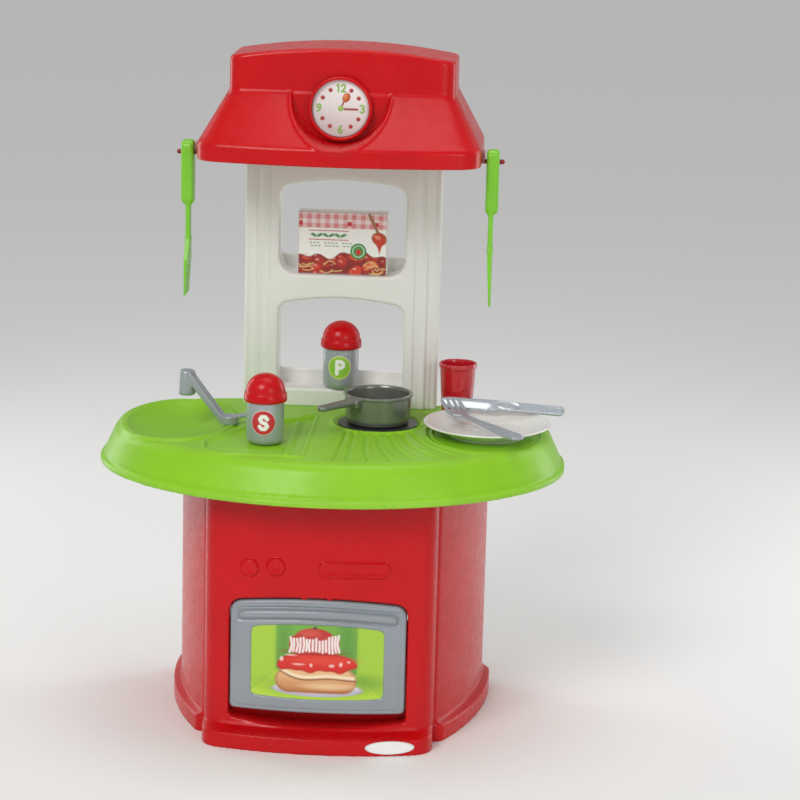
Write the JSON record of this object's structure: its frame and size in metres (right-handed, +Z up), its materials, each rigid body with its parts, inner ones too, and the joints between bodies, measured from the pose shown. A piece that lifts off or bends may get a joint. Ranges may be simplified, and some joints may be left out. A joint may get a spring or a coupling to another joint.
{
  "type": "toy kitchen",
  "caption": "Tabletop toy kitchen: base with drop-down oven door, worktop with sink and burner, back frame with hood and clock, and loose play dishes and utensils.",
  "frame": {"origin": "centre of the footprint of the whole kitchen, on the floor it stands on", "axes": "+X to the right as a child faces it, +Y from the front to the back, +Z up"},
  "size_m": [0.4201, 0.27, 0.6],
  "materials": {
    "green": "smooth injection-moulded plastic, lime green, light satin gloss",
    "red": "smooth injection-moulded plastic, bright red, high gloss",
    "dark_red": "moulded plastic, dark red, gloss",
    "white": "moulded plastic, warm white, satin gloss",
    "plate_white": "moulded plastic, white with a faint pink cast, gloss",
    "silver": "silver-grey plastic with a fine metallic flake, gloss",
    "door_grey": "silver-grey plastic with a fine metallic flake, satin",
    "pan_grey": "dark grey-green plastic with a fine metallic flake",
    "black": "black printed disc, matt",
    "utensil_green": "moulded plastic, apple green, gloss",
    "dial": "printed dial sticker",
    "sticker": "printed picture sticker under clear film",
    "label_white": "plain white oval plate",
    "salt_label": "round red sticker with a white letter",
    "pepper_label": "round green sticker with a white letter",
    "carton": "printed folding carton, coated board"
  },
  "bodies": {
    "root": {"countertop": "green", "burner_disc": "black", "front_panel": "red", "side_panel_right": "red", "side_panel_left": "red", "oven_floor": "red", "badge_plate": "label_white", "back_frame": "white", "hood": "red", "clock_case": "red", "clock_dial": "dial", "peg_right": "dark_red", "peg_left": "dark_red"},
    "door": {"oven_door": "door_grey", "door_sticker": "sticker"},
    "faucet": {"faucet_spout": "silver", "faucet_lever": "silver"},
    "spatula": {"spatula": "utensil_green"},
    "serving_fork": {"serving_fork": "utensil_green"},
    "salt": {"salt_body": "silver", "salt_cap": "red", "salt_label": "salt_label"},
    "pepper": {"pepper_body": "silver", "pepper_cap": "red", "pepper_label": "pepper_label"},
    "saucepan": {"saucepan": "pan_grey"},
    "cup": {"cup": "red"},
    "plate": {"plate": "plate_white"},
    "dinner_knife": {"dinner_knife": "silver"},
    "dinner_fork": {"dinner_fork": "silver"},
    "food_carton": {"food_carton": "carton"}
  },
  "joints": [
    {"name": "oven_door_hinge", "type": "hinge", "parent": "root", "child": "door", "pos_m": [0, -0.084, 0.039], "axis": [1, 0, 0], "range_deg": [0, 90]},
    {"name": "faucet_swivel", "type": "hinge", "parent": "root", "child": "faucet", "pos_m": [-0.092, 0.014, 0.264], "axis": [0, 0, 1], "range_deg": [-35, 35]},
    {"name": "spatula_swing", "type": "hinge", "parent": "root", "child": "spatula", "pos_m": [0.136, 0.05, 0.504], "axis": [1, 0, 0], "range_deg": [-35, 35]},
    {"name": "serving_fork_swing", "type": "hinge", "parent": "root", "child": "serving_fork", "pos_m": [-0.136, 0.05, 0.504], "axis": [1, 0, 0], "range_deg": [-35, 35]},
    {"name": "salt_lift", "type": "slide", "parent": "root", "child": "salt", "axis": [0, 0, 1], "range_m": [0, 0.1]},
    {"name": "pepper_out", "type": "slide", "parent": "root", "child": "pepper", "axis": [-0.6, -0.8, 0], "range_m": [0, 0.05]},
    {"name": "saucepan_lift", "type": "slide", "parent": "root", "child": "saucepan", "axis": [0, 0, 1], "range_m": [0, 0.075]},
    {"name": "cup_lift", "type": "slide", "parent": "root", "child": "cup", "axis": [0, 0, 1], "range_m": [0, 0.1]},
    {"name": "plate_lift", "type": "slide", "parent": "root", "child": "plate", "axis": [0, 0, 1], "range_m": [0, 0.05]},
    {"name": "dinner_knife_lift", "type": "slide", "parent": "plate", "child": "dinner_knife", "axis": [0, 0, 1], "range_m": [0, 0.03]},
    {"name": "dinner_fork_lift", "type": "slide", "parent": "plate", "child": "dinner_fork", "axis": [0, 0, 1], "range_m": [0, 0.03]},
    {"name": "food_carton_out", "type": "slide", "parent": "root", "child": "food_carton", "axis": [0, -1, 0], "range_m": [0, 0.045]}
  ]
}
